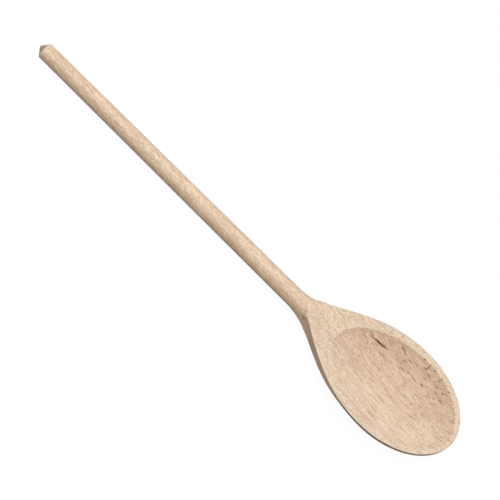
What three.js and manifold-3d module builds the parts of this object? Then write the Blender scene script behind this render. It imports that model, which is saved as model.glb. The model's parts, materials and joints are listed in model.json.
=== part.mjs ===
// A one-piece wooden cooking spoon, shaped from a single board: a round tapering handle that flares
// into a broad bowl with a flat upper face and one scooped hollow.
//
// Millimetres, +Z up. The spoon lies at rest on its belly and on the end of its handle, hollow upwards.
// +X runs from the end of the handle to the tip of the bowl, and the origin is under the middle of it.
// The sizes below are set out along the handle: X from the handle's end, Z from the handle's axis.

import * as THREE from 'three';
import { mergeVertices, toCreasedNormals } from 'three/addons/utils/BufferGeometryUtils.js';
import Module from 'manifold-3d';

const { smoothstep, lerp, degToRad } = THREE.MathUtils;

// Handle
const LENGTH = 300;
const HANDLE_END_DIAMETER = 9.4;
const NECK_DIAMETER = 10.7;
const CONE_LENGTH = 3.2;
const CONE_TIP_DIAMETER = 1;
const CONE_EDGE_BREAK = 0.3;

// Bowl in plan: the flare ends where the bowl is widest, and the tip closes it
const BOWL_WIDTH = 59.7;
const FLARE_LENGTH = 71.5;
const TIP_LENGTH = 41.5;
const TIP_FULLNESS = 1.98;
const NECK_TENSION = 0.32;
const SHOULDER_TENSION = 0.51;

// Bowl in profile: the flat face lies above the handle's axis and rises a little towards the tip, the
// belly hangs below it. Face, belly and rim are measured where the bowl is widest.
const FACE_HEIGHT = 6.1;
const FACE_TILT = degToRad(1.1);
const FACE_RUNOUT = 24;
const BELLY_DROP = 7;
const NECK_WALL = 6.5;
const RIM_WALL = 0.9;
const WALL_TAPER_START = 20;
const WALL_TAPER_LENGTH = 45;
const KEEL_FULLNESS = 1.2;

// Neck: its round swells above the handle before the flat is planed into it, and its walls lean in
const NECK_SWELL = 1.4;
const NECK_LEAN = 1.4;
const SWELL_RISE = 11;
const SWELL_FALL = 13;
const LEAN_FALL = 15;

// Arris of the flat face: it sharpens along the neck out of the handle's own round
const ARRIS_RADIUS = 0.5;
const ARRIS_START = 6;
const ARRIS_RUNOUT = 8;

// Hollow: the land is the flat left around it
const NECK_LAND = 30.5;
const TIP_LAND = 2.4;
const SIDE_LAND = 3.9;
const HOLLOW_TIP_LENGTH = 35.6;
const HOLLOW_FULLNESS = 1.9;
const HOLLOW_PROFILE = 2.3;
const FLOOR_THICKNESS = 5.5;

// Facets
const BELLY_POINTS = 16;
const CORNER_POINTS = 10;
const FLARE_STATIONS = 36;
const TIP_STATIONS = 18;
const TIP_LAST_ANGLE = degToRad(88);
const HOLLOW_POINTS = 80;
const HOLLOW_RINGS = 14;
const CUT_MARGIN = 2;
const CREASE_ANGLE = degToRad(30);

// Derived places
const flareStart = LENGTH - TIP_LENGTH - FLARE_LENGTH;
const widest = LENGTH - TIP_LENGTH;
const neckRadius = NECK_DIAMETER / 2;
const endRadius = HANDLE_END_DIAMETER / 2;

const wood = new THREE.MeshStandardMaterial({ color: 0xdcb489, roughness: 0.7, metalness: 0 });

// A closed skin through rings of equally many points, with a fan over each end.
function loft(rings) {
	const count = rings[0].length;
	const points = rings.flat();
	const faces = [];
	for (let ring = 0; ring + 1 < rings.length; ring++) {
		for (let i = 0; i < count; i++) {
			const a = ring * count + i;
			const b = ring * count + (i + 1) % count;
			faces.push(a, b, b + count, a, b + count, a + count);
		}
	}
	const first = points.push(centreOf(rings[0])) - 1;
	const last = points.push(centreOf(rings.at(-1))) - 1;
	const lastRing = (rings.length - 1) * count;
	for (let i = 0; i < count; i++) {
		const next = (i + 1) % count;
		faces.push(first, next, i);
		faces.push(last, lastRing + i, lastRing + next);
	}
	return new THREE.BufferGeometry().setFromPoints(points).setIndex(faces);
}

function centreOf(ring) {
	const sum = ring.reduce((total, point) => total.add(point), new THREE.Vector3());
	return sum.divideScalar(ring.length);
}

// Cuts run on watertight solids.
const wasm = await Module();
wasm.setup();

function toSolid(geometry) {
	const bare = geometry.clone();
	bare.deleteAttribute('normal');
	bare.deleteAttribute('uv');
	const welded = mergeVertices(bare);
	return new wasm.Manifold(new wasm.Mesh({
		numProp: 3,
		vertProperties: new Float32Array(welded.attributes.position.array),
		triVerts: new Uint32Array(welded.index.array),
	}));
}

function toGeometry(solid) {
	const { vertProperties, triVerts } = solid.getMesh();
	const geometry = new THREE.BufferGeometry();
	geometry.setAttribute('position', new THREE.BufferAttribute(vertProperties, 3));
	geometry.setIndex(new THREE.BufferAttribute(triVerts, 1));
	return toCreasedNormals(geometry, CREASE_ANGLE);
}

// One quarter of a rounded outline: 0 gives its length, a right angle its width.
function quarter(angle, length, width, fullness) {
	const along = length * Math.cos(angle) ** (2 / fullness);
	const across = width * Math.sin(angle) ** (2 / fullness);
	return new THREE.Vector2(along, across);
}

// Half of the bowl's plan outline, from the neck to the tip, as X and half width.
function planOutline() {
	const halfWidth = BOWL_WIDTH / 2;
	const flare = new THREE.CubicBezierCurve(
		new THREE.Vector2(flareStart, neckRadius),
		new THREE.Vector2(flareStart + NECK_TENSION * FLARE_LENGTH, neckRadius),
		new THREE.Vector2(widest - SHOULDER_TENSION * FLARE_LENGTH, halfWidth),
		new THREE.Vector2(widest, halfWidth),
	);
	const outline = flare.getPoints(FLARE_STATIONS);
	for (let i = 1; i <= TIP_STATIONS; i++) {
		const angle = Math.PI / 2 - TIP_LAST_ANGLE * i / TIP_STATIONS;
		const { x, y } = quarter(angle, TIP_LENGTH, halfWidth, TIP_FULLNESS);
		outline.push(new THREE.Vector2(widest + x, y));
	}
	return outline;
}

// A cross-section of the blank: two rounded corners on walls that may lean, over half an ellipse.
function section({ x, halfWidth, top, corner, widestLine, depth, lean = 0 }) {
	const side = [];
	for (let i = 0; i <= BELLY_POINTS; i++) {
		const angle = Math.PI / 2 * i / BELLY_POINTS;
		side.push([halfWidth * Math.sin(angle), widestLine - depth * Math.cos(angle)]);
	}
	for (let i = 0; i < CORNER_POINTS; i++) {
		const angle = Math.PI / 2 * (i + 0.5) / CORNER_POINTS;
		const height = top - corner * (1 - Math.sin(angle));
		const inset = corner * (1 - Math.cos(angle)) + lean * (height - widestLine) / (top - widestLine);
		side.push([halfWidth - inset, height]);
	}
	const otherSide = side.slice(1).reverse().map(([across, height]) => [-across, height]);
	return [...side, ...otherSide].map(([across, height]) => new THREE.Vector3(x, across, height));
}

function roundSection(x, radius) {
	return section({ x, halfWidth: radius, top: radius, corner: radius, widestLine: 0, depth: radius });
}

// The height of the flat face above the handle's axis.
function faceHeight(x) {
	return FACE_HEIGHT + (x - widest) * Math.tan(FACE_TILT);
}

// Along the neck: from 0 at the start to 1 at the swell's crest, and back to 0.
function neckBump(x, start, fall) {
	const crest = flareStart + SWELL_RISE;
	return smoothstep(x, start, crest) * (1 - smoothstep(x, crest, crest + fall));
}

// The bowl's sections change from the round of the neck to a flat face, an upright rim and a domed belly.
function bowlSection({ x, y: halfWidth }) {
	const taperStart = flareStart + WALL_TAPER_START;
	const wallDrop = smoothstep(x, flareStart, taperStart) * (FACE_HEIGHT - NECK_WALL);
	const wallLift = smoothstep(x, taperStart, taperStart + WALL_TAPER_LENGTH) * (NECK_WALL - RIM_WALL);
	const widestLine = wallDrop + wallLift;
	const keel = lerp(neckRadius, BELLY_DROP, smoothstep(x, flareStart, widest)) + widestLine;
	const closing = x > widest ? (2 * halfWidth / BOWL_WIDTH) ** KEEL_FULLNESS : 1;

	const planed = smoothstep(x, flareStart, flareStart + FACE_RUNOUT);
	const arrisStart = flareStart + ARRIS_START;
	const squared = smoothstep(x, arrisStart, arrisStart + ARRIS_RUNOUT);
	const lean = NECK_LEAN * neckBump(x, arrisStart, LEAN_FALL);
	const swell = NECK_SWELL * neckBump(x, flareStart, SWELL_FALL);
	const pastArris = Math.max(x - (LENGTH - ARRIS_RADIUS), 0);
	const tipRound = ARRIS_RADIUS - Math.sqrt(ARRIS_RADIUS ** 2 - pastArris ** 2);
	const top = lerp(neckRadius, faceHeight(x), planed) + swell - tipRound;
	const corner = Math.min(lerp(halfWidth, ARRIS_RADIUS, squared), halfWidth - lean, top - widestLine);
	return section({ x, halfWidth, top, corner, widestLine, depth: keel * closing, lean });
}

// The blank, with its face already flat: cone end, tapering handle, flare and bowl.
function blank() {
	const edge = CONE_EDGE_BREAK;
	const coneSlope = (endRadius - CONE_TIP_DIAMETER / 2) / CONE_LENGTH;
	return loft([
		roundSection(0, CONE_TIP_DIAMETER / 2),
		roundSection(CONE_LENGTH - edge, endRadius - edge * coneSlope),
		roundSection(CONE_LENGTH + edge, endRadius),
		...planOutline().map(bowlSection),
	]);
}

// What the scoop takes out: egg-shaped rings tilted like the face, shrinking and sinking to the middle.
function hollow() {
	const centre = LENGTH - TIP_LAND - HOLLOW_TIP_LENGTH;
	const neckReach = centre - flareStart - NECK_LAND;
	const halfWidth = BOWL_WIDTH / 2 - SIDE_LAND;
	const depth = FACE_HEIGHT + BELLY_DROP - FLOOR_THICKNESS;

	const ring = (scale, sink) => {
		const points = [];
		for (let i = 0; i < HOLLOW_POINTS; i++) {
			const turn = 2 * Math.PI * i / HOLLOW_POINTS;
			const reach = Math.cos(turn) > 0 ? HOLLOW_TIP_LENGTH : neckReach;
			const angle = Math.atan2(Math.abs(Math.sin(turn)), Math.abs(Math.cos(turn)));
			const { x, y } = quarter(angle, reach * scale, halfWidth * scale, HOLLOW_FULLNESS);
			const along = centre + Math.sign(Math.cos(turn)) * x;
			const across = Math.sign(Math.sin(turn)) * y;
			points.push(new THREE.Vector3(along, across, faceHeight(along) - sink));
		}
		return points;
	};

	const rings = [];
	for (let i = 1; i <= HOLLOW_RINGS; i++) {
		const scale = Math.sin(Math.PI / 2 * i / HOLLOW_RINGS);
		rings.push(ring(scale, depth * (1 - scale ** HOLLOW_PROFILE)));
	}
	return loft([...rings, ring(1, -CUT_MARGIN)]);
}

function spoon() {
	const solid = toSolid(blank()).subtract(toSolid(hollow()));
	const mesh = new THREE.Mesh(toGeometry(solid), wood);
	mesh.name = 'spoon';
	return mesh;
}

// At rest the belly and the handle's end both touch the table, which pitches the handle's axis a little.
const resting = new THREE.Group();
resting.add(spoon());
resting.rotation.y = -Math.atan2(BELLY_DROP - endRadius, widest - CONE_LENGTH);
const extent = new THREE.Box3().setFromObject(resting, true);
const middle = extent.getCenter(new THREE.Vector3());
resting.position.set(-middle.x, -middle.y, -extent.min.z);

const part = new THREE.Group();
part.add(resting);

export default part;
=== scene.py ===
"""A one-piece beech cooking spoon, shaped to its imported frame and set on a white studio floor."""

import json
import logging
import math
from collections.abc import Callable, Iterator
from dataclasses import dataclass, field
from enum import Enum

import bmesh
import bpy
from mathutils import Matrix, Vector


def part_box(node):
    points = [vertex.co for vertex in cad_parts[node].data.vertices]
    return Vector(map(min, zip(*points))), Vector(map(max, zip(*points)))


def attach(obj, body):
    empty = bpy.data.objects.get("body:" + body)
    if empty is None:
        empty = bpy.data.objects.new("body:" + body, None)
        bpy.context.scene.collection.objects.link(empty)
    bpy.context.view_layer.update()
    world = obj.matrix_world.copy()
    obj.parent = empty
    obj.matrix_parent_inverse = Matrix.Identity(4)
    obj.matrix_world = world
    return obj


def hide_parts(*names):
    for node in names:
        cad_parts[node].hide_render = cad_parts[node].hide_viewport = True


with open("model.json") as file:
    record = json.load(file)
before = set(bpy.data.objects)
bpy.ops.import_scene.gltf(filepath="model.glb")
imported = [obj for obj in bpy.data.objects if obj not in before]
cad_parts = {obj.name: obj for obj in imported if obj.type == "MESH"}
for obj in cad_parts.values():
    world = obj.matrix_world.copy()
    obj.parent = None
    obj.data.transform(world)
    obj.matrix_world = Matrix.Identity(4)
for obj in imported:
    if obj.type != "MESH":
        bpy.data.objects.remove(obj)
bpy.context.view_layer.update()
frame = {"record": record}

LOG = logging.getLogger("spoon")
MM = 0.001
SAME_PLACE = 1e-6
QUARTER_TURN = math.radians(90.0)
Socket = bpy.types.NodeSocket
Pair = tuple[float, float]
Triple = tuple[float, float, float]
Colour = tuple[float, float, float, float]
Feed = Socket | float | Triple | Colour


def ease(value: float, start: float, end: float) -> float:
    """Eases from 0 at start to 1 at end.

    Args:
        value: Where to read the curve.
        start: The place where it leaves 0.
        end: The place where it reaches 1.

    Returns:
        The eased share, between 0 and 1.
    """
    share = min(max((value - start) / (end - start), 0.0), 1.0)
    return share * share * (3.0 - 2.0 * share)


def between(share: float, first: float, second: float) -> float:
    """Goes from the first value at share 0 to the second at share 1."""
    return first + (second - first) * share


def tone(red: int, green: int, blue: int) -> Colour:
    """Turns an everyday 0 to 255 colour into the linear colour that a shader takes.

    Args:
        red: Red as on screen.
        green: Green as on screen.
        blue: Blue as on screen.

    Returns:
        The linear colour with full opacity.
    """
    def linear(value: int) -> float:
        """Undoes the screen curve of one channel."""
        share = value / 255.0
        return share / 12.92 if share <= 0.04045 else ((share + 0.055) / 1.055) ** 2.4
    return linear(red), linear(green), linear(blue), 1.0


def deselect_everything() -> None:
    """Leaves nothing selected, so that an operator acts on one piece alone."""
    for item in bpy.context.selected_objects:
        item.select_set(False)
    bpy.context.view_layer.objects.active = None


def activate(piece: bpy.types.Object) -> None:
    """Selects one piece and makes it the active one.

    Args:
        piece: The piece.
    """
    deselect_everything()
    piece.select_set(True)
    bpy.context.view_layer.objects.active = piece


class Part(Enum):
    """The parts of a mesh that can be selected, with the name of their list."""

    EDGE = "edges"
    FACE = "faces"


def start_disc(points: int, radius: float, **placing: Triple) -> bpy.types.Object:
    """Lays a filled disc that a shape is drawn out of, and opens it for editing.

    Args:
        points: How many points its edge has.
        radius: Its radius, in metres.
        **placing: Its location or rotation.

    Returns:
        The disc, in edit mode with all of it selected.
    """
    deselect_everything()
    bpy.ops.mesh.primitive_circle_add(vertices=points, radius=radius, fill_type="NGON", **placing)
    disc = bpy.context.active_object
    bpy.ops.object.transform_apply(location=True, rotation=True, scale=True)
    bpy.ops.object.mode_set(mode="EDIT")
    bpy.ops.mesh.select_all(action="SELECT")
    return disc


def select_parts(piece: bpy.types.Object, part: Part, wanted: Callable[..., bool]) -> None:
    """Selects, in edit mode, the edges or faces that are wanted.

    Args:
        piece: The piece being edited.
        part: Whether edges or faces are selected.
        wanted: Tells from one of them whether it is selected.
    """
    bpy.ops.mesh.select_mode(type=part.name)
    bpy.ops.mesh.select_all(action="DESELECT")
    mesh = bmesh.from_edit_mesh(piece.data)
    mesh.normal_update()
    for item in getattr(mesh, part.value):
        item.select_set(wanted(item))
    mesh.select_flush_mode()
    bmesh.update_edit_mesh(piece.data)


@dataclass(frozen=True)
class Section:
    """One cross-section of the blank: rounded corners on walls that may lean, over half an ellipse."""

    x: float
    half_width: float
    top: float
    corner: float
    widest_line: float
    depth: float
    lean: float = 0.0

    def points(self, corner_points: int, belly_points: int) -> list[Pair]:
        """Walks around the section, from the keel up the far side and back down the near side.

        Args:
            corner_points: How many points each rounded corner takes.
            belly_points: How many steps the lower half takes.

        Returns:
            Pairs of place across and height.
        """
        half = belly_points // 2
        rise = []
        for i in range(half + 1):
            angle = QUARTER_TURN * i / half
            across = self.half_width * math.sin(angle)
            rise.append((across, self.widest_line - self.depth * math.cos(angle)))
        for i in range(corner_points):
            angle = QUARTER_TURN * (i + 0.5) / corner_points
            height = self.top - self.corner * (1.0 - math.sin(angle))
            share = (height - self.widest_line) / (self.top - self.widest_line)
            inset = self.corner * (1.0 - math.cos(angle)) + self.lean * share
            rise.append((self.half_width - inset, height))
        mirrored = [(-across, height) for across, height in reversed(rise[1:])]
        return rise + mirrored


@dataclass
class Handle:
    """The round tapering handle with its blunt cone end."""

    end_diameter: float = 9.4
    neck_diameter: float = 10.7
    cone_length: float = 3.2
    cone_tip_diameter: float = 1.0
    stations: int = 24

    def sections(self, neck_x: float) -> Iterator[Section]:
        """Gives the round sections from the cone's tip to just before the neck.

        Args:
            neck_x: Where the flare of the bowl takes over.

        Returns:
            The sections, in order along the handle.
        """
        tip = self.cone_tip_diameter / 2
        yield Section(0.0, tip, tip, tip, 0.0, tip)
        for i in range(self.stations):
            share = i / self.stations
            radius = between(share, self.end_diameter, self.neck_diameter) / 2
            yield Section(between(share, self.cone_length, neck_x), radius, radius, radius, 0.0, radius)


@dataclass
class Bowl:
    """The broad bowl: its plan outline, its flat face that rises to the tip, and its domed belly."""

    width: float = 59.7
    flare_length: float = 71.5
    tip_length: float = 41.5
    tip_fullness: float = 1.98
    neck_tension: float = 0.32
    shoulder_tension: float = 0.51
    face_height: float = 6.1
    face_tilt: float = 1.1
    face_runout: float = 24.0
    belly_drop: float = 7.0
    neck_wall: float = 6.5
    rim_wall: float = 0.9
    wall_taper_start: float = 20.0
    wall_taper_length: float = 45.0
    keel_fullness: float = 1.2
    neck_swell: float = 1.4
    neck_lean: float = 1.4
    swell_rise: float = 11.0
    swell_fall: float = 13.0
    lean_fall: float = 15.0
    rim: float = 2.6
    arris_round: float = 0.5
    arris_start: float = 6.0
    arris_runout: float = 8.0
    flare_stations: int = 64
    tip_stations: int = 40
    last_tip_angle: float = 88.6

    def outline(self, length: float, neck_radius: float) -> Iterator[Pair]:
        """Walks half of the plan outline from the neck to the tip.

        Args:
            length: The spoon's whole length.
            neck_radius: The handle's radius where the flare starts.

        Returns:
            Pairs of distance along the spoon and half width.
        """
        half = self.width / 2
        widest = length - self.tip_length
        start = widest - self.flare_length
        leave = start + self.neck_tension * self.flare_length
        arrive = widest - self.shoulder_tension * self.flare_length
        for i in range(self.flare_stations + 1):
            u = i / self.flare_stations
            weights = ((1 - u) ** 3, 3 * u * (1 - u) ** 2, 3 * u * u * (1 - u), u ** 3)
            along = sum(w * a for w, a in zip(weights, (start, leave, arrive, widest)))
            across = sum(w * a for w, a in zip(weights, (neck_radius, neck_radius, half, half)))
            yield along, across
        power = 2 / self.tip_fullness
        for i in range(1, self.tip_stations + 1):
            angle = math.radians(self.last_tip_angle * i / self.tip_stations)
            yield widest + self.tip_length * math.sin(angle) ** power, half * math.cos(angle) ** power

    def face_at(self, x: float, length: float) -> float:
        """Gives the flat face's height above the handle's axis at a distance from the handle's end."""
        return self.face_height + (x - length + self.tip_length) * math.tan(math.radians(self.face_tilt))

    def neck_bump(self, distance: float, start: float, fall: float) -> float:
        """Rises from 0 at the start to 1 at the neck's crest, and falls back to 0.

        Args:
            distance: How far along the flare.
            start: Where the rise starts.
            fall: How long the way down is.

        Returns:
            The share between 0 and 1.
        """
        crest = self.swell_rise
        return ease(distance, start, crest) * (1.0 - ease(distance, crest, crest + fall))

    def section(self, x: float, half_width: float, length: float, neck_radius: float) -> Section:
        """Shapes one section, from the neck's round to an upright rim over a dome.

        Args:
            x: Distance from the handle's end.
            half_width: Half of the plan width there.
            length: The spoon's whole length.
            neck_radius: The handle's radius where the flare starts.

        Returns:
            The section at that place.
        """
        widest = length - self.tip_length
        start = widest - self.flare_length
        taper = start + self.wall_taper_start
        drop = ease(x, start, taper) * (self.face_height - self.neck_wall)
        lift = ease(x, taper, taper + self.wall_taper_length) * (self.neck_wall - self.rim_wall)
        widest_line = drop + lift
        depth = between(ease(x, start, widest), neck_radius, self.belly_drop) + widest_line
        if x > widest:
            depth *= (2 * half_width / self.width) ** self.keel_fullness
        sharpening = start + self.arris_start
        squared = ease(x, sharpening, sharpening + self.arris_runout)
        top = between(ease(x, start, start + self.face_runout), neck_radius, self.face_at(x, length))
        top += self.neck_swell * self.neck_bump(x - start, 0.0, self.swell_fall)
        lean = self.neck_lean * self.neck_bump(x - start, self.arris_start, self.lean_fall)
        corner = between(squared, half_width, self.arris_round)
        past = x - (length - self.arris_round)
        if past > 0.0:
            top -= self.arris_round - math.sqrt(self.arris_round ** 2 - past ** 2)
        corner = min(corner, half_width - lean, top - widest_line)
        return Section(x, half_width, top, corner, widest_line, depth, lean)


@dataclass
class Hollow:
    """The scooped hollow, an egg in plan with a rounded dish profile."""

    neck_land: float = 30.5
    tip_land: float = 2.4
    side_land: float = 3.9
    tip_length: float = 35.6
    fullness: float = 1.9
    profile: float = 2.3
    floor_thickness: float = 5.5
    edge_round: float = 0.4
    edge_segments: int = 4
    edge_cosines: Pair = (0.4, 0.99)
    edge_reach: float = 1.05
    wall_reach: float = 1.01
    wall_cosine: float = 0.3
    skin: float = 0.02
    lip: float = 0.14
    brink: float = 0.8
    rings: int = 30
    points: int = 180
    overshoot: float = 0.3


class Mask(Enum):
    """The parts of the surface that the finish tells apart, as named face attributes."""

    SCOOPED = "scooped"
    PLANED = "planed"
    ARRIS = "arris"
    BRINK = "brink"
    RIM = "rim"


@dataclass
class Spoon:
    """The whole spoon, cut from one board and shaped as one piece."""

    length: float = 300.0
    corner_points: int = 10
    belly_points: int = 48
    cone_round: float = 0.3
    cone_segments: int = 3
    smooth_angle: float = 40.0
    on_face: float = 0.05
    flat_cosine: float = 0.99999
    land_cosine: float = 0.9999
    planed_cosine: float = 0.97
    arris_cosine: float = 0.7
    handle: Handle = field(default_factory=Handle)
    bowl: Bowl = field(default_factory=Bowl)
    hollow: Hollow = field(default_factory=Hollow)

    @property
    def neck_x(self) -> float:
        """Where the handle ends and the flare of the bowl starts."""
        return self.length - self.bowl.tip_length - self.bowl.flare_length

    @property
    def neck_radius(self) -> float:
        """The handle's radius at the neck."""
        return self.handle.neck_diameter / 2

    @property
    def face_normal(self) -> Vector:
        """The direction that the flat face looks in, before the spoon is laid down."""
        tilt = math.radians(self.bowl.face_tilt)
        return Vector((-math.sin(tilt), 0.0, math.cos(tilt)))

    def sink(self, spot: Vector) -> float:
        """Gives how far a spot lies under the plane of the flat face, in metres."""
        return self.bowl.face_at(spot.x / MM, self.length) * MM - spot.z

    def sections(self) -> list[Section]:
        """Lists every section of the blank.

        Returns:
            The sections, from the cone's tip to the bowl's tip.
        """
        found = list(self.handle.sections(self.neck_x))
        for x, half_width in self.bowl.outline(self.length, self.neck_radius):
            found.append(self.bowl.section(x, half_width, self.length, self.neck_radius))
        return found

    def loft_blank(self) -> bpy.types.Object:
        """Draws the blank out of a small disc, one section after another.

        Returns:
            The blank, along X, with the handle's axis at height 0.
        """
        sections = self.sections()
        count = len(sections[0].points(self.corner_points, self.belly_points))
        blank = start_disc(count, sections[0].half_width * MM, rotation=(0.0, QUARTER_TURN, 0.0))
        blank.name = "spoon_beech"
        bpy.ops.mesh.select_mode(type="VERT")
        self.shape_end(blank, sections[0])
        for before, after in zip(sections, sections[1:]):
            step = ((after.x - before.x) * MM, 0.0, 0.0)
            bpy.ops.mesh.extrude_region_move(TRANSFORM_OT_translate={"value": step})
            self.shape_end(blank, after)
        bpy.ops.mesh.select_all(action="SELECT")
        bpy.ops.mesh.normals_make_consistent(inside=False)
        select_parts(blank, Part.EDGE, self.is_cone_edge)
        bpy.ops.mesh.bevel(
            offset=self.cone_round * MM, segments=self.cone_segments, profile=0.5, clamp_overlap=False)
        select_parts(blank, Part.FACE, self.is_flat)
        bpy.ops.mesh.dissolve_faces()
        bpy.ops.object.mode_set(mode="OBJECT")
        return blank

    def shape_end(self, blank: bpy.types.Object, section: Section) -> None:
        """Gives the selected end of the blank the shape of a section.

        Args:
            blank: The blank, in edit mode with its end selected.
            section: The section that the end gets.
        """
        mesh = bmesh.from_edit_mesh(blank.data)
        ring = [vertex for vertex in mesh.verts if vertex.select]
        middle = sum(vertex.co.z for vertex in ring) / len(ring)
        keel_turn = math.radians(91.0)
        ring.sort(key=lambda vertex: (math.atan2(vertex.co.z - middle, vertex.co.y) + keel_turn) % math.tau)
        outline = section.points(self.corner_points, self.belly_points)
        for vertex, (across, height) in zip(ring, outline):
            vertex.co.y = across * MM
            vertex.co.z = height * MM
        bmesh.update_edit_mesh(blank.data)

    def is_cone_edge(self, edge: bmesh.types.BMEdge) -> bool:
        """Tells whether an edge runs around the base of the handle's cone."""
        base = self.handle.cone_length * MM
        return all(abs(vertex.co.x - base) < SAME_PLACE for vertex in edge.verts)

    def is_flat(self, face: bmesh.types.BMFace) -> bool:
        """Tells whether a face belongs to the planed flat."""
        level = face.normal.dot(self.face_normal) > self.flat_cosine
        return level and self.sink(face.calc_center_median()) < self.on_face * MM

    def is_planed(self, face: bmesh.types.BMFace) -> bool:
        """Tells whether a face is on the flat or on its run-out over the neck's crest."""
        past_crest = face.calc_center_median().x > (self.neck_x + self.bowl.swell_rise) * MM
        return past_crest and face.normal.dot(self.face_normal) > self.planed_cosine

    def scoop(self, blank: bpy.types.Object) -> None:
        """Cuts the hollow with an egg-shaped cutter and softens its edge.

        Args:
            blank: The blank with its flat face.
        """
        cutter = self.hollow_cutter()
        activate(blank)
        cut = blank.modifiers.new("scoop", "BOOLEAN")
        cut.operation = "DIFFERENCE"
        cut.solver = "EXACT"
        cut.object = cutter
        bpy.ops.object.modifier_apply(modifier=cut.name)
        bpy.data.objects.remove(cutter)
        bpy.ops.object.mode_set(mode="EDIT")
        select_parts(blank, Part.EDGE, self.is_hollow_edge)
        bpy.ops.mesh.bevel(
            offset=self.hollow.edge_round * MM, segments=self.hollow.edge_segments, profile=0.5,
            clamp_overlap=False)
        bpy.ops.object.mode_set(mode="OBJECT")

    def is_hollow_edge(self, edge: bmesh.types.BMEdge) -> bool:
        """Tells whether an edge is where the flat face breaks into the hollow.

        Args:
            edge: An edge of the scooped blank.

        Returns:
            Whether it is one.
        """
        if len(edge.link_faces) != 2 or any(abs(self.sink(v.co)) > self.on_face * MM for v in edge.verts):
            return False
        wall, land = sorted(edge.link_faces, key=lambda face: face.normal.dot(self.face_normal))
        least, most = self.hollow.edge_cosines
        breaks = least < wall.normal.dot(self.face_normal) < most
        level = land.normal.dot(self.face_normal) > self.land_cosine
        return level and breaks and self.egg_share(wall) < self.hollow.edge_reach

    def egg_share(self, face: bmesh.types.BMFace) -> float:
        """Gives how far out of the hollow's egg a face lies.

        Args:
            face: A face of the scooped blank.

        Returns:
            The share of the egg's reach: under 1 is inside.
        """
        shape = self.hollow
        spot = face.calc_center_median() / MM
        along = spot.x - self.hollow_centre
        reach = shape.tip_length if along > 0.0 else self.hollow_neck_reach
        power = shape.fullness
        length_share = abs(along) / reach
        width_share = abs(spot.y) / self.hollow_half_width
        return (length_share ** power + width_share ** power) ** (1 / power)

    @property
    def hollow_centre(self) -> float:
        """Where the hollow is widest and deepest, along the spoon."""
        return self.length - self.hollow.tip_land - self.hollow.tip_length

    @property
    def hollow_neck_reach(self) -> float:
        """How far the hollow reaches from its centre towards the neck."""
        return self.hollow_centre - self.neck_x - self.hollow.neck_land

    @property
    def hollow_half_width(self) -> float:
        """Half of the hollow's width."""
        return self.bowl.width / 2 - self.hollow.side_land

    def hollow_cutter(self) -> bpy.types.Object:
        """Draws the cutter of the hollow ring by ring, from above the face down to the deepest point.

        Returns:
            The cutter, in the blank's own place.
        """
        shape = self.hollow
        power = shape.fullness
        depth = self.bowl.face_height + self.bowl.belly_drop - shape.floor_thickness
        middle = (self.hollow_centre * MM, 0.0, self.bowl.face_at(self.hollow_centre, self.length) * MM)
        cutter = start_disc(shape.points, 1.0, location=middle)
        mesh = bmesh.from_edit_mesh(cutter.data)
        for vertex in mesh.verts:
            along, across = vertex.co.x - middle[0], vertex.co.y
            stretch = (abs(along) ** power + abs(across) ** power) ** (-1 / power)
            reach = shape.tip_length if along > 0 else self.hollow_neck_reach
            vertex.co.x = middle[0] + along * stretch * reach * MM
            vertex.co.y = across * stretch * self.hollow_half_width * MM
        bmesh.update_edit_mesh(cutter.data)
        outermost = 1.0 + shape.overshoot
        before = outermost
        height = -depth * (1.0 - before ** shape.profile)
        bpy.ops.transform.resize(value=(before, before, 1.0), center_override=middle)
        bpy.ops.transform.translate(value=(0.0, 0.0, height * MM))
        for i in range(1, shape.rings + 1):
            scale = outermost * math.cos(QUARTER_TURN * i / (shape.rings + 1))
            sink = -depth * (1.0 - scale ** shape.profile)
            step = (0.0, 0.0, (sink - height) * MM)
            bpy.ops.mesh.extrude_region_move(TRANSFORM_OT_translate={"value": step})
            shrink = scale / before
            bpy.ops.transform.resize(value=(shrink, shrink, 1.0), center_override=middle)
            before, height = scale, sink
        rise = math.tan(math.radians(self.bowl.face_tilt))
        mesh = bmesh.from_edit_mesh(cutter.data)
        for vertex in mesh.verts:
            vertex.co.z += (vertex.co.x - middle[0]) * rise
        bmesh.update_edit_mesh(cutter.data)
        bpy.ops.mesh.select_all(action="SELECT")
        bpy.ops.mesh.normals_make_consistent(inside=False)
        bpy.ops.object.mode_set(mode="OBJECT")
        return cutter

    def mark_surfaces(self, spoon: bpy.types.Object) -> None:
        """Notes on each face which surfaces it belongs to.

        Args:
            spoon: The finished mesh, still along the handle's axis.
        """
        mesh = bmesh.new()
        mesh.from_mesh(spoon.data)
        mesh.normal_update()
        kinds = [self.masks_of(face) for face in mesh.faces]
        mesh.free()
        for kind in Mask:
            layer = spoon.data.attributes.new(kind.value, "FLOAT", "FACE")
            layer.data.foreach_set("value", [float(kind in found) for found in kinds])

    def masks_of(self, face: bmesh.types.BMFace) -> tuple[Mask, ...]:
        """Tells which surfaces a face belongs to.

        Args:
            face: A face of the finished mesh, still along the handle's axis.

        Returns:
            The masks that it counts for.
        """
        spot = face.calc_center_median()
        sink = self.sink(spot) / MM
        along = spot.x / MM - self.neck_x
        if along < 0.0:
            off_cone = abs(spot.x / MM - self.handle.cone_length)
            return (Mask.ARRIS,) if off_cone < self.cone_round else ()
        shape = self.hollow
        in_egg = self.egg_share(face) < shape.wall_reach
        if in_egg and face.normal.z > shape.wall_cosine and sink > shape.skin:
            if sink < shape.lip:
                return (Mask.PLANED,)
            return (Mask.SCOOPED, Mask.BRINK) if sink < shape.brink else (Mask.SCOOPED,)
        if self.is_planed(face):
            return (Mask.PLANED,)
        at_arris = sink < self.bowl.arris_round and face.normal.z > self.arris_cosine
        if along > self.bowl.swell_rise and at_arris:
            return (Mask.ARRIS,)
        return (Mask.RIM,) if along > self.bowl.face_runout and sink < self.bowl.rim else ()

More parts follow.
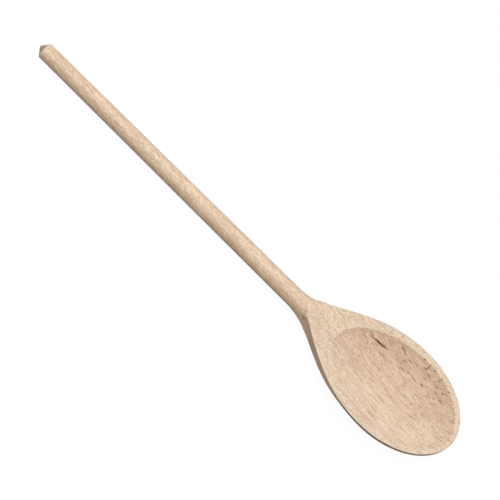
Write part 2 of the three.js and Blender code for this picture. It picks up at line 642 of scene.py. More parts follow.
    def lay_down(self, spoon: bpy.types.Object) -> None:
        """Lays the spoon as the frame has it: pitched like its flat face, on the floor, centred.

        Args:
            spoon: The finished mesh, still along the handle's axis.
        """
        land = next(mount for mount in frame["record"]["mounts"] if mount["kind"] == "flat_face")
        activate(spoon)
        pitch = math.atan2(land["axis"][0], land["axis"][2])
        spoon.rotation_euler.y = pitch + math.radians(self.bowl.face_tilt)
        bpy.ops.object.transform_apply(location=True, rotation=True, scale=True)
        low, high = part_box("spoon")
        places = [vertex.co.x for vertex in spoon.data.vertices]
        spoon.location.x = (low.x + high.x) / 2 - (min(places) + max(places)) / 2
        spoon.location.z = low.z - min(vertex.co.z for vertex in spoon.data.vertices)
        bpy.ops.object.transform_apply(location=True, rotation=True, scale=True)

    def smooth(self, spoon: bpy.types.Object) -> None:
        """Shades the spoon smooth, with the flats kept flat.

        Args:
            spoon: The finished mesh.
        """
        activate(spoon)
        bpy.ops.object.shade_smooth_by_angle(angle=math.radians(self.smooth_angle))
        even = spoon.modifiers.new("even_flats", "WEIGHTED_NORMAL")
        even.keep_sharp = True
        bpy.ops.object.modifier_apply(modifier=even.name)

    def build(self) -> bpy.types.Object:
        """Builds the finished spoon and lets it stand for the frame's own solid.

        Returns:
            The spoon's mesh object.
        """
        spoon = self.loft_blank()
        self.scoop(spoon)
        self.mark_surfaces(spoon)
        self.lay_down(spoon)
        self.smooth(spoon)
        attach(spoon, "root")
        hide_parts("spoon")
        return spoon


MIX_INPUTS = (0, 6, 7)
MIX_OUTPUT = 2
NOISE_MIDDLE = (0.5, 0.5, 0.5)
NOISE_SPAN = (0.25, 0.75)


class Sketch:
    """Short hand for laying nodes into one shader tree."""

    def __init__(self, tree: bpy.types.NodeTree) -> None:
        """Takes the tree that the nodes go into."""
        self.tree = tree

    def node(self, kind: str, **options: object) -> bpy.types.Node:
        """Adds a node.

        Args:
            kind: The node's type name.
            **options: The settings that the node gets.

        Returns:
            The new node.
        """
        made = self.tree.nodes.new(kind)
        for name, value in options.items():
            setattr(made, name, value)
        return made

    def feed(self, target: Socket, value: Feed) -> None:
        """Links a socket to the target, or writes a plain value into it.

        Args:
            target: The input that is fed.
            value: A socket, a number, a vector or a colour.
        """
        if isinstance(value, Socket):
            self.tree.links.new(value, target)
        else:
            target.default_value = value

    def join(self, kind: str, first: Feed, second: Feed, **options: object) -> bpy.types.Node:
        """Adds a node that works on two values.

        Args:
            kind: The node's type name.
            first: The first value.
            second: The second value.
            **options: The settings that the node gets.

        Returns:
            The new node.
        """
        made = self.node(kind, **options)
        self.feed(made.inputs[0], first)
        self.feed(made.inputs[1], second)
        return made

    def math(self, operation: str, first: Feed, second: Feed = 0.0) -> Socket:
        """Works out one number from two."""
        return self.join("ShaderNodeMath", first, second, operation=operation).outputs[0]

    def times(self, first: Feed, second: Feed) -> Socket:
        """Multiplies two numbers."""
        return self.math("MULTIPLY", first, second)

    def vector(self, operation: str, first: Feed, second: Feed = (0.0, 0.0, 0.0)) -> Socket:
        """Works out one vector from two."""
        return self.join("ShaderNodeVectorMath", first, second, operation=operation).outputs["Vector"]

    def measure(self, operation: str, first: Feed, second: Feed = (0.0, 0.0, 0.0)) -> Socket:
        """Works out one number from two vectors, such as a length or a dot product."""
        return self.join("ShaderNodeVectorMath", first, second, operation=operation).outputs["Value"]

    def stretch(self, vector: Feed, factor: Feed) -> Socket:
        """Makes a vector longer or shorter.

        Args:
            vector: The vector.
            factor: How many times as long it gets.

        Returns:
            The result.
        """
        made = self.node("ShaderNodeVectorMath", operation="SCALE")
        self.feed(made.inputs["Vector"], vector)
        self.feed(made.inputs["Scale"], factor)
        return made.outputs["Vector"]

    def parts(self, vector: Socket) -> dict[str, Socket]:
        """Takes a vector apart.

        Args:
            vector: The vector.

        Returns:
            Its X, Y and Z.
        """
        apart = self.node("ShaderNodeSeparateXYZ")
        self.feed(apart.inputs["Vector"], vector)
        return {axis: apart.outputs[axis] for axis in "XYZ"}

    def fade(self, value: Feed, start: Feed, end: Feed, low: float = 0.0, high: float = 1.0) -> Socket:
        """Eases a number from low at the start to high at the end.

        Args:
            value: The number to read.
            start: Where the result leaves low.
            end: Where it reaches high.
            low: The result before the start.
            high: The result past the end.

        Returns:
            The eased number.
        """
        made = self.node("ShaderNodeMapRange", interpolation_type="SMOOTHSTEP")
        names = ("Value", "From Min", "From Max", "To Min", "To Max")
        for name, amount in zip(names, (value, start, end, low, high)):
            self.feed(made.inputs[name], amount)
        return made.outputs["Result"]

    def noise(self, where: Socket, spread: Triple, detail: float = 1.0) -> bpy.types.Node:
        """Lays a noise whose patches have a given size.

        Args:
            where: The place, in millimetres.
            spread: How long a patch is along each direction, in millimetres.
            detail: How many finer layers it has.

        Returns:
            The noise node.
        """
        made = self.node("ShaderNodeTexNoise")
        self.feed(made.inputs["Vector"], self.vector("DIVIDE", where, spread))
        made.inputs["Scale"].default_value = 1.0
        made.inputs["Detail"].default_value = detail
        return made

    def blend(self, share: Feed, first: Feed, second: Feed, mode: str = "MIX") -> Socket:
        """Blends two colours.

        Args:
            share: How much of the second colour shows.
            first: The colour underneath.
            second: The colour on top.
            mode: How the two combine.

        Returns:
            The blended colour.
        """
        made = self.node("ShaderNodeMix", data_type="RGBA", blend_type=mode)
        for socket, value in zip(MIX_INPUTS, (share, first, second)):
            self.feed(made.inputs[socket], value)
        return made.outputs[MIX_OUTPUT]

    def tint(self, share: Feed, colour: Feed, tint: Feed) -> Socket:
        """Multiplies a colour by a tint, as far as the share goes."""
        return self.blend(share, colour, tint, "MULTIPLY")

    def place(self, group: bpy.types.NodeTree, **values: Feed) -> Socket:
        """Places a node group.

        Args:
            group: The group.
            **values: What its inputs are fed with, by name.

        Returns:
            The group's one output.
        """
        made = self.node("ShaderNodeGroup", node_tree=group)
        for name, value in values.items():
            self.feed(made.inputs[name.capitalize()], value)
        return made.outputs[0]

    def attribute(self, name: str) -> Socket:
        """Reads a number that is noted on each face."""
        return self.node("ShaderNodeAttribute", attribute_name=name).outputs["Fac"]


class Effect(Sketch):
    """A node group with named inputs and one output."""

    def __init__(self, name: str, inputs: dict[str, str], output: str, kind: str = "Float") -> None:
        """Opens an empty group.

        Args:
            name: The group's name.
            inputs: The inputs by name, each with its kind of value.
            output: The output's name.
            kind: The output's kind of value.
        """
        super().__init__(bpy.data.node_groups.new(name, "ShaderNodeTree"))
        for label, sort in inputs.items():
            self.tree.interface.new_socket(label, in_out="INPUT", socket_type=f"NodeSocket{sort}")
        self.tree.interface.new_socket(output, in_out="OUTPUT", socket_type=f"NodeSocket{kind}")
        self.given = self.node("NodeGroupInput").outputs
        self.result = self.node("NodeGroupOutput").inputs[0]


DRIFT_SIZE = (45.0, 13.0, 13.0)
BEND_START = 40.0
BEND_CREST = 70.0
BEND_RATE = -0.0007


def grain_run() -> bpy.types.NodeTree:
    """Makes the group that turns places on the spoon into places along its wavy grain.

    Returns:
        The group: a place, the grain's slope and its sway in, the place along the grain out.
    """
    inputs = {"Place": "Vector", "Slope": "Float", "Sway": "Float"}
    effect = Effect("grain_run", inputs, "Along", "Vector")
    place = effect.given["Place"]
    turned = effect.node("ShaderNodeVectorRotate", rotation_type="Z_AXIS")
    effect.feed(turned.inputs["Vector"], place)
    effect.feed(turned.inputs["Angle"], effect.given["Slope"])
    drift = effect.noise(place, DRIFT_SIZE)
    centred = effect.vector("SUBTRACT", drift.outputs["Color"], NOISE_MIDDLE)
    sway = effect.stretch(centred, effect.given["Sway"])
    past_start = effect.math("MAXIMUM", effect.parts(place)["X"], BEND_START)
    off_crest = effect.math("SUBTRACT", past_start, BEND_CREST)
    bend = effect.times(effect.times(off_crest, off_crest), BEND_RATE)
    shift = effect.node("ShaderNodeCombineXYZ")
    effect.feed(shift.inputs["Y"], bend)
    bent = effect.vector("ADD", turned.outputs["Vector"], shift.outputs["Vector"])
    effect.feed(effect.result, effect.vector("ADD", bent, sway))
    return effect.tree


FLECK_SIZES = (0.5, 1.0)
FLECK_CORE = 0.6
FLECK_STRENGTHS = (0.3, 1.0)


def ray_flecks() -> bpy.types.NodeTree:
    """Makes the group that scatters spindle-shaped flecks along the grain.

    Returns:
        The group: a place along the grain, the room and size of a fleck and how many show in, a mask out.
    """
    inputs = {"Along": "Vector", "Room": "Vector", "Radius": "Float", "Share": "Float"}
    effect = Effect("ray_flecks", inputs, "Mask")
    cells = effect.node("ShaderNodeTexVoronoi", voronoi_dimensions="2D", feature="F1")
    room = effect.vector("DIVIDE", effect.given["Along"], effect.given["Room"])
    effect.feed(cells.inputs["Vector"], room)
    cells.inputs["Scale"].default_value = 1.0
    chance = effect.node("ShaderNodeSeparateColor")
    effect.feed(chance.inputs["Color"], cells.outputs["Color"])
    size = effect.fade(chance.outputs["Red"], 0.0, 1.0, *FLECK_SIZES)
    radius = effect.times(effect.given["Radius"], size)
    inner = effect.times(radius, FLECK_CORE)
    body = effect.fade(cells.outputs["Distance"], radius, inner)
    shown = effect.math("LESS_THAN", chance.outputs["Green"], effect.given["Share"])
    force = effect.fade(chance.outputs["Blue"], 0.0, 1.0, *FLECK_STRENGTHS)
    strength = effect.times(shown, force)
    effect.feed(effect.result, effect.times(body, strength))
    return effect.tree


@dataclass(frozen=True)
class Pattern:
    """A noise in the wood: the size of its patches in millimetres, and what its values are eased to."""

    size: Triple
    low: float
    high: float
    span: Pair = NOISE_SPAN
    detail: float = 1.0

    def lay(self, sketch: Sketch, where: Socket) -> Socket:
        """Lays the noise, eased over its span from low to high."""
        noise = sketch.noise(where, self.size, self.detail).outputs["Fac"]
        return sketch.fade(noise, *self.span, self.low, self.high)


@dataclass(frozen=True)
class Fleck:
    """One kind of fleck: the room that each has along and across the grain, and its size in that room."""

    room: Triple
    radius: float

    def scatter(self, sketch: Sketch, group: bpy.types.NodeTree, along: Socket, share: Feed) -> Socket:
        """Gives the mask of the flecks of this kind, of which a share shows."""
        return sketch.place(group, along=along, room=self.room, radius=self.radius, share=share)


MARK_TAPER = (0.5, 0.15)
MARK_HALF_WIDTHS = (0.22, 0.5)
MARK_CORE = 0.3
MARK_RIPPLE = (2.2, 2.2, 2.2)
MARK_WOBBLE = 0.9


class Stain(Enum):
    """The colours of the single marks in the wood."""

    RED = tone(110, 26, 16)
    RUST = tone(142, 74, 52)
    BROWN = tone(140, 96, 72)
    GREY = tone(112, 88, 74)


@dataclass(frozen=True)
class GrainMark:
    """One mark that shows by itself on the upper side: a line in plan from start to end, in millimetres."""

    stain: Stain
    start: Pair
    end: Pair
    width: float = 0.5
    strength: float = 0.6

    def draw(self, sketch: Sketch, plan: Socket) -> Socket:
        """Draws the mark as a line that tapers towards both ends.

        Args:
            sketch: The material's tree.
            plan: The place on the spoon in plan, in millimetres.

        Returns:
            The mark's mask.
        """
        first = Vector((*self.start, 0.0))
        run = Vector((*self.end, 0.0)) - first
        reach = sketch.vector("SUBTRACT", plan, tuple(first))
        share = sketch.math("ADD", sketch.measure("DOT_PRODUCT", reach, tuple(run / run.length_squared)))
        share.node.use_clamp = True
        off = sketch.vector("SUBTRACT", reach, sketch.stretch(tuple(run), share))
        distance = sketch.measure("LENGTH", off)
        middle = sketch.math("ABSOLUTE", sketch.math("SUBTRACT", share, 0.5))
        taper = sketch.fade(middle, *MARK_TAPER, *MARK_HALF_WIDTHS)
        half = sketch.times(taper, self.width)
        line = sketch.fade(distance, half, sketch.times(half, MARK_CORE))
        return sketch.times(line, self.strength)


RED_STREAK = (
    GrainMark(Stain.RUST, (79.0, 15.0), (81.0, 14.0), 0.7, 0.8),
    GrainMark(Stain.RUST, (80.5, 14.0), (86.0, 14.5), 1.1, 0.95),
    GrainMark(Stain.RUST, (86.5, 15.0), (92.5, 16.0), 1.1, 0.95),
    GrainMark(Stain.RED, (83.5, 14.5), (90.5, 15.5), 1.7, 1.0),
)
NICKS = (
    GrainMark(Stain.RUST, (96.0, 22.5), (101.5, 20.5), 0.8, 0.9),
    GrainMark(Stain.GREY, (114.0, 25.5), (114.0, 22.0), 0.75, 0.9),
    GrainMark(Stain.RED, (89.0, 20.0), (89.5, 19.5), 0.8, 0.7),
    GrainMark(Stain.RUST, (47.5, -6.5), (48.5, -6.5), 0.8, 0.4),
    GrainMark(Stain.RUST, (48.5, -7.0), (49.5, -7.0), 0.9, 0.5),
)
BRINK_DASHES = (
    GrainMark(Stain.BROWN, (109.0, 25.5), (110.5, 25.5), 1.1, 0.9),
    GrainMark(Stain.BROWN, (117.5, 25.0), (118.5, 24.5), 0.9, 0.8),
    GrainMark(Stain.BROWN, (123.0, 24.0), (124.0, 24.0), 1.0, 0.9),
    GrainMark(Stain.BROWN, (130.0, 21.5), (131.0, 21.0), 0.9, 0.8),
    GrainMark(Stain.BROWN, (115.0, 22.0), (119.0, 21.0), 0.7, 0.85),
)
FAR_DASHES = (
    GrainMark(Stain.BROWN, (101.5, 18.0), (103.0, 17.5), 0.8, 0.8),
    GrainMark(Stain.RUST, (103.0, 15.0), (105.0, 14.5), 0.8, 0.85),
    GrainMark(Stain.RUST, (107.5, 15.5), (109.5, 15.5), 0.8, 0.85),
    GrainMark(Stain.BROWN, (112.0, 15.0), (114.5, 15.0), 0.7, 0.8),
    GrainMark(Stain.RUST, (117.0, 16.0), (119.0, 15.5), 0.9, 0.95),
    GrainMark(Stain.BROWN, (126.5, 14.5), (128.5, 14.0), 0.8, 0.85),
    GrainMark(Stain.RUST, (128.0, 19.0), (130.0, 19.0), 0.9, 0.9),
    GrainMark(Stain.RUST, (129.5, 15.5), (132.0, 15.0), 0.8, 0.9),
    GrainMark(Stain.RUST, (85.5, 9.0), (87.5, 8.5), 0.7),
)
LONG_LINES = tuple(GrainMark(Stain.BROWN, start, end) for start, end in (
    ((83.5, -5.0), (94.0, -7.5)),
    ((121.5, -4.5), (132.5, -6.0)),
    ((102.0, -11.5), (112.5, -14.0)),
    ((119.0, -17.0), (126.0, -18.0)),
    ((107.0, 6.0), (112.0, 4.5)),
    ((104.5, 0.0), (109.0, -0.5)),
    ((118.5, 10.0), (123.0, 9.5)),
    ((142.5, -2.5), (146.0, -3.0)),
))
MARKS = RED_STREAK + NICKS + BRINK_DASHES + FAR_DASHES + LONG_LINES


@dataclass(frozen=True)
class Surface:
    """What the finish goes by at a point of the spoon, as sockets of the material's tree.

    Attributes:
        place: Where on the spoon, in millimetres.
        along: The same place along the grain.
        spot: The parts of the place.
        facing: The parts of the surface's direction.
        masks: The spoon's surfaces.
        pink_shaded_side: How far towards the far side of the board, where the hollow is pinker and has
            painted shade.
        fibre: The fine fibre.
    """

    place: Socket
    along: Socket
    spot: dict[str, Socket]
    facing: dict[str, Socket]
    masks: dict[Mask, Socket]
    pink_shaded_side: Socket
    fibre: Socket


@dataclass(frozen=True)
class Beech:
    """Bare sanded beech: pale tan with cream streaks, short dark ray flecks and a pinker scooped hollow,
    with painted shade and painted light on its rims, edges, hollow and underside.
    """

    cream: Colour = tone(253, 233, 206)
    # Painted highlight: a near-white colour laid on the edge of the flat face.
    crest: Colour = tone(255, 247, 224)
    tan: Colour = tone(223, 189, 156)
    rose: Colour = tone(212, 175, 146)
    sanded: Colour = tone(225, 203, 178)
    fleck: Colour = tone(166, 74, 32)
    vessel: Colour = tone(178, 100, 56)
    # In the hollow, painted light makes the near side paler. The far side is pinker and darker, partly from
    # the cut wood and partly from painted shade.
    near_light_tint: Colour = (1.025, 1.055, 1.105, 1.0)
    pink_and_shade_tint: Colour = (0.82, 0.765, 0.745, 1.0)
    # Painted shade: a slightly darker band just inside the hollow's edge.
    brink_shade_tint: Colour = (0.93, 0.92, 0.92, 1.0)
    # Painted shade: the outer wall just under the bowl's near rim is made much darker.
    rim_shade_tint: Colour = (0.45, 0.43, 0.42, 1.0)
    # The edge of the flat face is made darker and browner: end grain at the tip, and painted shade along
    # the far side.
    edge_grain_and_shade_tint: Colour = (0.60, 0.47, 0.41, 1.0)
    # Painted light: faces that look sideways or down are made lighter and warmer.
    underside_light_tint: Colour = (1.09, 1.035, 1.0, 1.0)
    end_grain_tint: Colour = (0.78, 0.675, 0.645, 1.0)
    slope: float = 7.0
    sway: float = 2.5
    pink_shaded_side_lean: float = -0.06
    pink_shaded_side_span: Pair = (-30.0, 17.0)
    fibre_size: Triple = (1.2, 0.25, 0.25)
    coarse_fibre: Pair = (0.77, 1.20)
    fine_fibre: Pair = (0.89, 1.10)
    dash_size: Triple = (3.0, 0.42, 0.42)
    dash_span: Pair = (0.15, 0.85)
    long_dashes: Pattern = Pattern((6.0, 0.38, 0.42), 0.28, 0.72, (0.0, 1.0))
    streaks: Pattern = Pattern((38.0, 1.8, 1.8), 0.0, 0.4, (0.42, 0.70), 2.0)
    bands: Pattern = Pattern((110.0, 5.5, 9.0), 0.0, 0.4, (0.45, 0.75))
    scuffs: Pattern = Pattern((0.55, 0.55, 0.55), 0.86, 1.16)
    threads: Pattern = Pattern((15.0, 0.5, 0.5), 0.88, 1.11)
    sanding: float = 0.6
    coarse_flecks: Fleck = Fleck((6.5, 1.05, 1.0), 0.28)
    small_flecks: Fleck = Fleck((5.5, 0.62, 1.0), 0.28)
    vessel_lines: Fleck = Fleck((19.0, 1.2, 1.0), 0.27)
    coarse_share: Pair = (0.40, 0.60)
    small_share: float = 0.5
    small_strength: float = 0.5
    line_share: float = 0.55
    line_strength: Pair = (0.75, 0.42)
    fleck_start: Pair = (30.0, 60.0)
    brink_shade_end: Pair = (125.0, 140.0)
    # Where the painted shade under the near rim starts, along the spoon and across it.
    rim_shade_start: Pair = (80.0, 108.0)
    rim_shade_side: Pair = (-4.0, -16.0)
    brown_tip: Pair = (138.0, 147.0)
    brown_side: Pair = (4.0, 9.0)
    # Where the painted highlight on the edge starts, away from the neck.
    highlight_start: Pair = (48.0, 64.0)
    gloss: float = 0.3
    roughness: Pair = (0.44, 0.56)
    bump: float = 0.05
    bump_strength: float = 0.6
    pit_depth: float = 0.8

    def material(self) -> bpy.types.Material:
        """Makes the wood.

        Returns:
            The material.
        """
        wood = bpy.data.materials.new("beech")
        wood.use_nodes = True
        sketch = Sketch(wood.node_tree)
        skin = wood.node_tree.nodes["Principled BSDF"].inputs
        skin["Specular IOR Level"].default_value = self.gloss
        surface = self.survey(sketch)
        colour = self.bare_colour(sketch, surface)
        colour, pits = self.add_flecks(sketch, surface, colour)
        colour = self.add_tints(sketch, surface, colour)
        sketch.feed(skin["Base Color"], self.draw_marks(sketch, surface, colour))
        sketch.feed(skin["Roughness"], sketch.fade(surface.fibre, 0.2, 0.8, *self.roughness))
        dents = sketch.times(pits, self.pit_depth)
        relief = sketch.node("ShaderNodeBump")
        relief.inputs["Strength"].default_value = self.bump_strength
        relief.inputs["Distance"].default_value = self.bump * MM
        sketch.feed(relief.inputs["Height"], sketch.math("SUBTRACT", surface.fibre, dents))
        sketch.feed(skin["Normal"], relief.outputs["Normal"])
        return wood

    def survey(self, sketch: Sketch) -> Surface:
        """Reads what the finish goes by.

        Args:
            sketch: The material's tree.

        Returns:
            The readings.
        """
        coords = sketch.node("ShaderNodeTexCoord")
        place = sketch.stretch(coords.outputs["Object"], 1.0 / MM)
        along = sketch.place(grain_run(), place=place, slope=math.radians(self.slope), sway=self.sway)
        facing = sketch.parts(coords.outputs["Normal"])
        spot = sketch.parts(place)
        masks = {kind: sketch.attribute(kind.value) for kind in Mask}
        # A share that rises towards the far side. It sets how dense the flecks are, and where the hollow
        # gets its pinker tint and painted shade.
        lean = sketch.math("ADD", spot["Y"], sketch.times(spot["X"], self.pink_shaded_side_lean))
        pink_shaded_side = sketch.fade(lean, *self.pink_shaded_side_span)
        fibre = sketch.noise(along, self.fibre_size).outputs["Fac"]
        return Surface(place, along, spot, facing, masks, pink_shaded_side, fibre)

    def bare_colour(self, sketch: Sketch, surface: Surface) -> Socket:
        """Mixes the wood's streaks, bands and fibre.

        Args:
            sketch: The material's tree.
            surface: What the finish goes by.

        Returns:
            The colour of the wood without its flecks.
        """
        along = surface.along
        scooped, planed = surface.masks[Mask.SCOOPED], surface.masks[Mask.PLANED]
        dashes = sketch.noise(along, self.dash_size).outputs["Fac"]
        dashes = sketch.blend(scooped, dashes, self.long_dashes.lay(sketch, along))
        colour = sketch.blend(sketch.fade(dashes, *self.dash_span), self.tan, self.cream)
        colour = sketch.blend(self.streaks.lay(sketch, along), colour, self.rose)
        colour = sketch.blend(self.bands.lay(sketch, along), colour, self.rose)
        colour = sketch.blend(sketch.times(planed, self.sanding), colour, self.sanded)
        colour = sketch.tint(planed, colour, self.scuffs.lay(sketch, surface.place))
        colour = sketch.tint(1.0, colour, self.threads.lay(sketch, along))
        coarse = sketch.fade(surface.fibre, *NOISE_SPAN, *self.coarse_fibre)
        fine = sketch.fade(surface.fibre, *NOISE_SPAN, *self.fine_fibre)
        return sketch.tint(1.0, colour, sketch.blend(scooped, coarse, fine))

    def add_flecks(self, sketch: Sketch, surface: Surface, colour: Socket) -> tuple[Socket, Socket]:
        """Scatters the ray flecks and the long vessel lines over the wood.

        Args:
            sketch: The material's tree.
            surface: What the finish goes by.
            colour: The wood's colour.

        Returns:
            The colour with the flecks, and the mask of the coarse ones.
        """
        along, pink_shaded_side = surface.along, surface.pink_shaded_side
        group = ray_flecks()
        level = sketch.fade(sketch.math("ABSOLUTE", surface.facing["Y"]), 0.95, 0.5, 0.3, 1.0)
        on_bowl = sketch.fade(surface.spot["X"], *self.fleck_start, 0.55, 1.0)
        level = sketch.times(level, on_bowl)
        off_flat = sketch.fade(surface.masks[Mask.PLANED], 0.0, 1.0, 1.0, 0.6)
        shown = sketch.times(level, off_flat)
        many = sketch.fade(pink_shaded_side, 0.0, 1.0, *self.coarse_share)
        coarse = self.coarse_flecks.scatter(sketch, group, along, many)
        small = self.small_flecks.scatter(sketch, group, along, self.small_share)
        lines = self.vessel_lines.scatter(sketch, group, along, self.line_share)
        lines = sketch.times(lines, sketch.fade(pink_shaded_side, 0.0, 1.0, *self.line_strength))
        coarse = sketch.times(coarse, sketch.fade(pink_shaded_side, 0.35, 1.0, 0.4, 1.0))
        coarse = sketch.times(coarse, shown)
        colour = sketch.blend(sketch.times(lines, shown), colour, self.vessel)
        small = sketch.times(small, self.small_strength)
        colour = sketch.blend(sketch.times(small, shown), colour, self.fleck)
        return sketch.blend(coarse, colour, self.fleck), coarse

    def add_tints(self, sketch: Sketch, surface: Surface, colour: Socket) -> Socket:
        """Tones the wood by where on the spoon it is (in the hollow, on an edge, on end grain), with
        painted shade and painted light among the tones.

        Args:
            sketch: The material's tree.
            surface: What the finish goes by.
            colour: The wood's colour.

        Returns:
            The toned colour.
        """
        spot, facing, masks = surface.spot, surface.facing, surface.masks
        # The hollow's tint: painted light on its near side, and pinker wood with painted shade on its far
        # wall.
        hollow_light_and_shade_tint = sketch.blend(surface.pink_shaded_side, self.near_light_tint, self.pink_and_shade_tint)
        colour = sketch.tint(masks[Mask.SCOOPED], colour, hollow_light_and_shade_tint)
        # Painted shade just inside the hollow's edge. It is strongest on the far side and fades towards the
        # tip.
        brink = sketch.times(masks[Mask.BRINK], sketch.fade(surface.pink_shaded_side, 0.5, 1.0, 0.4, 1.0))
        brink = sketch.times(brink, sketch.fade(spot["X"], *self.brink_shade_end, 1.0, 0.2))
        colour = sketch.tint(brink, colour, self.brink_shade_tint)
        # Painted shade on the outer wall under the near rim, from the bowl's middle towards the tip.
        rim = sketch.times(masks[Mask.RIM], sketch.fade(spot["X"], *self.rim_shade_start))
        rim = sketch.times(rim, sketch.fade(spot["Y"], *self.rim_shade_side))
        colour = sketch.tint(rim, colour, self.rim_shade_tint)
        # Painted light on faces that slope away from the top, at full strength where they look sideways or
        # down.
        under = sketch.fade(facing["Z"], 0.75, 0.0)
        colour = sketch.tint(under, colour, self.underside_light_tint)
        end_grain = sketch.fade(sketch.math("ABSOLUTE", facing["X"]), 0.3, 0.95)
        colour = sketch.tint(end_grain, colour, self.end_grain_tint)
        # Darker, browner edge: end grain at the tip, and painted shade along the far side.
        at_tip = sketch.fade(spot["X"], *self.brown_tip)
        brown = sketch.math("MAXIMUM", at_tip, sketch.fade(spot["Y"], *self.brown_side))
        edge = masks[Mask.ARRIS]
        colour = sketch.tint(sketch.times(edge, brown), colour, self.edge_grain_and_shade_tint)
        # Painted highlight: the edge of the flat face is made near white, except at the tip and on the far
        # side.
        painted_highlight = sketch.times(edge, sketch.fade(brown, 0.6, 0.0, 0.0, 0.95))
        off_neck = sketch.fade(sketch.math("ABSOLUTE", spot["X"]), *self.highlight_start)
        painted_highlight = sketch.times(painted_highlight, off_neck)
        return sketch.blend(painted_highlight, colour, self.crest)

    def draw_marks(self, sketch: Sketch, surface: Surface, colour: Socket) -> Socket:
        """Draws the single marks over the wood's colour, on the upper side alone.

        Args:
            sketch: The material's tree.
            surface: What the finish goes by.
            colour: The wood's colour.

        Returns:
            The colour with the marks.
        """
        ripple = sketch.noise(surface.place, MARK_RIPPLE, 2.0).outputs["Color"]
        wiggle = sketch.vector("SUBTRACT", ripple, NOISE_MIDDLE)
        rough_place = sketch.vector("ADD", surface.place, sketch.stretch(wiggle, MARK_WOBBLE))
        plan = sketch.vector("MULTIPLY", rough_place, (1.0, 1.0, 0.0))
        upper = sketch.math("GREATER_THAN", surface.facing["Z"], 0.0)
        for stain in Stain:
            mask: Feed = 0.0
            for mark in MARKS:
                if mark.stain is stain:
                    mask = sketch.math("MAXIMUM", mask, mark.draw(sketch, plan))
            mask = sketch.times(mask, upper)
            colour = sketch.blend(mask, colour, stain.value)
        return colour


@dataclass(frozen=True)
class View:
    """The photograph's point of view, as an orbit about a point near the middle of the spoon."""

    target: Triple = (3.845, 1.497, 6.0)
    azimuth: float = 1.606
    elevation: float = 60.0
    roll: float = 43.565
    distance: float = 1500.0
    pixels_per_mm: float = 1.9035
    frame_pixels: float = 500.0
    sensor: float = 36.0
    farthest: float = 20.0

    def aim(self) -> bpy.types.Object:
        """Sets the camera up and makes it the scene's own.

        Returns:
            The camera object.
        """
        turn, lift, roll = (math.radians(a) for a in (self.azimuth, self.elevation, self.roll))
        back = Vector((math.sin(turn) * math.cos(lift), -math.cos(turn) * math.cos(lift), math.sin(lift)))
        level = Vector((math.cos(turn), math.sin(turn), 0.0))
        upright = back.cross(level)
        right = math.cos(roll) * level + math.sin(roll) * upright
        up = math.cos(roll) * upright - math.sin(roll) * level
        lens = bpy.data.cameras.new("photo_view")
        lens.sensor_width = self.sensor
        lens.lens = self.pixels_per_mm * self.distance * self.sensor / self.frame_pixels
        lens.clip_end = self.farthest
        camera = bpy.data.objects.new("photo_view", lens)
        bpy.context.scene.collection.objects.link(camera)
        place = (Vector(self.target) + back * self.distance) * MM
        camera.matrix_world = Matrix.Translation(place) @ Matrix((right, up, back)).transposed().to_4x4()
        bpy.context.scene.camera = camera
        return camera


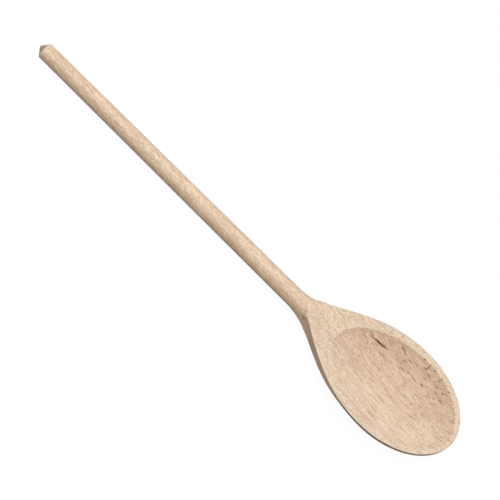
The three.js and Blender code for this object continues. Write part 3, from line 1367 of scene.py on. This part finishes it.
@dataclass(frozen=True)
class Studio:
    """A white floor under plain soft light, most of it from overhead."""

    floor_size: float = 8.0
    floor_tone: float = 0.06
    floor_glow: float = 0.96
    sky_level: float = 0.62
    low_sky: float = 0.12
    sky_rise: float = 0.48
    key_watts: float = 11.6
    key_size: float = 1.1
    key_distance: float = 1.6
    key_azimuth: float = 105.0
    key_elevation: float = 88.0

    def lay_floor(self) -> bpy.types.Object:
        """Lays the floor that the spoon rests on.

        Returns:
            The floor plane.
        """
        deselect_everything()
        bpy.ops.mesh.primitive_plane_add(size=self.floor_size)
        floor = bpy.context.active_object
        floor.name = "floor"
        floor.data.materials.append(self.floor_paint())
        return floor

    def floor_paint(self) -> bpy.types.Material:
        """Makes the floor's paint, which shows white to the camera and throws little light back.

        Returns:
            The floor's material.
        """
        paint = bpy.data.materials.new("floor_white")
        paint.use_nodes = True
        sketch = Sketch(paint.node_tree)
        sketch.tree.nodes.clear()
        path = sketch.node("ShaderNodeLightPath").outputs
        mirrored = sketch.math("MAXIMUM", path["Is Glossy Ray"], path["Is Transmission Ray"])
        seen = sketch.math("MAXIMUM", path["Is Camera Ray"], mirrored)
        matt = sketch.node("ShaderNodeBsdfDiffuse")
        matt.inputs["Color"].default_value = (self.floor_tone, self.floor_tone, self.floor_tone, 1.0)
        glow = sketch.node("ShaderNodeEmission")
        sketch.feed(glow.inputs["Strength"], sketch.times(seen, self.floor_glow))
        both = sketch.join("ShaderNodeAddShader", matt.outputs[0], glow.outputs[0])
        out = sketch.node("ShaderNodeOutputMaterial")
        sketch.feed(out.inputs["Surface"], both.outputs[0])
        return paint

    def light(self) -> None:
        """Lights the floor with a sky that is brighter overhead and one large soft lamp."""
        world = bpy.data.worlds.new("soft_sky")
        world.use_nodes = True
        sky = world.node_tree.nodes["Background"]
        sky.inputs["Color"].default_value = (1.0, 1.0, 1.0, 1.0)
        sketch = Sketch(world.node_tree)
        way = sketch.parts(sketch.node("ShaderNodeTexCoord").outputs["Generated"])
        level = sketch.fade(way["Z"], 0.0, self.sky_rise, self.sky_level * self.low_sky, self.sky_level)
        sketch.feed(sky.inputs["Strength"], level)
        bpy.context.scene.world = world
        lamp = bpy.data.lights.new("soft_key", "AREA")
        lamp.shape = "DISK"
        lamp.size = self.key_size
        lamp.energy = self.key_watts
        key = bpy.data.objects.new("soft_key", lamp)
        turn, lift = math.radians(self.key_azimuth), math.radians(self.key_elevation)
        aim = Vector((math.cos(turn) * math.cos(lift), math.sin(turn) * math.cos(lift), math.sin(lift)))
        facing = aim.to_track_quat("Z", "Y").to_matrix().to_4x4()
        key.matrix_world = Matrix.Translation(aim * self.key_distance) @ facing
        bpy.context.scene.collection.objects.link(key)

    def open(self) -> None:
        """Sets the whole studio up, with the picture shown in plain tones."""
        bpy.context.scene.view_settings.view_transform = "Standard"
        self.lay_floor()
        self.light()


def main() -> None:
    """Builds the spoon and its studio."""
    logging.basicConfig(level=logging.INFO, format="%(message)s")
    spoon = Spoon().build()
    spoon.data.materials.append(Beech().material())
    LOG.info("spoon: %d faces", len(spoon.data.polygons))
    Studio().open()
    View().aim()


if __name__ == "__main__":
    main()
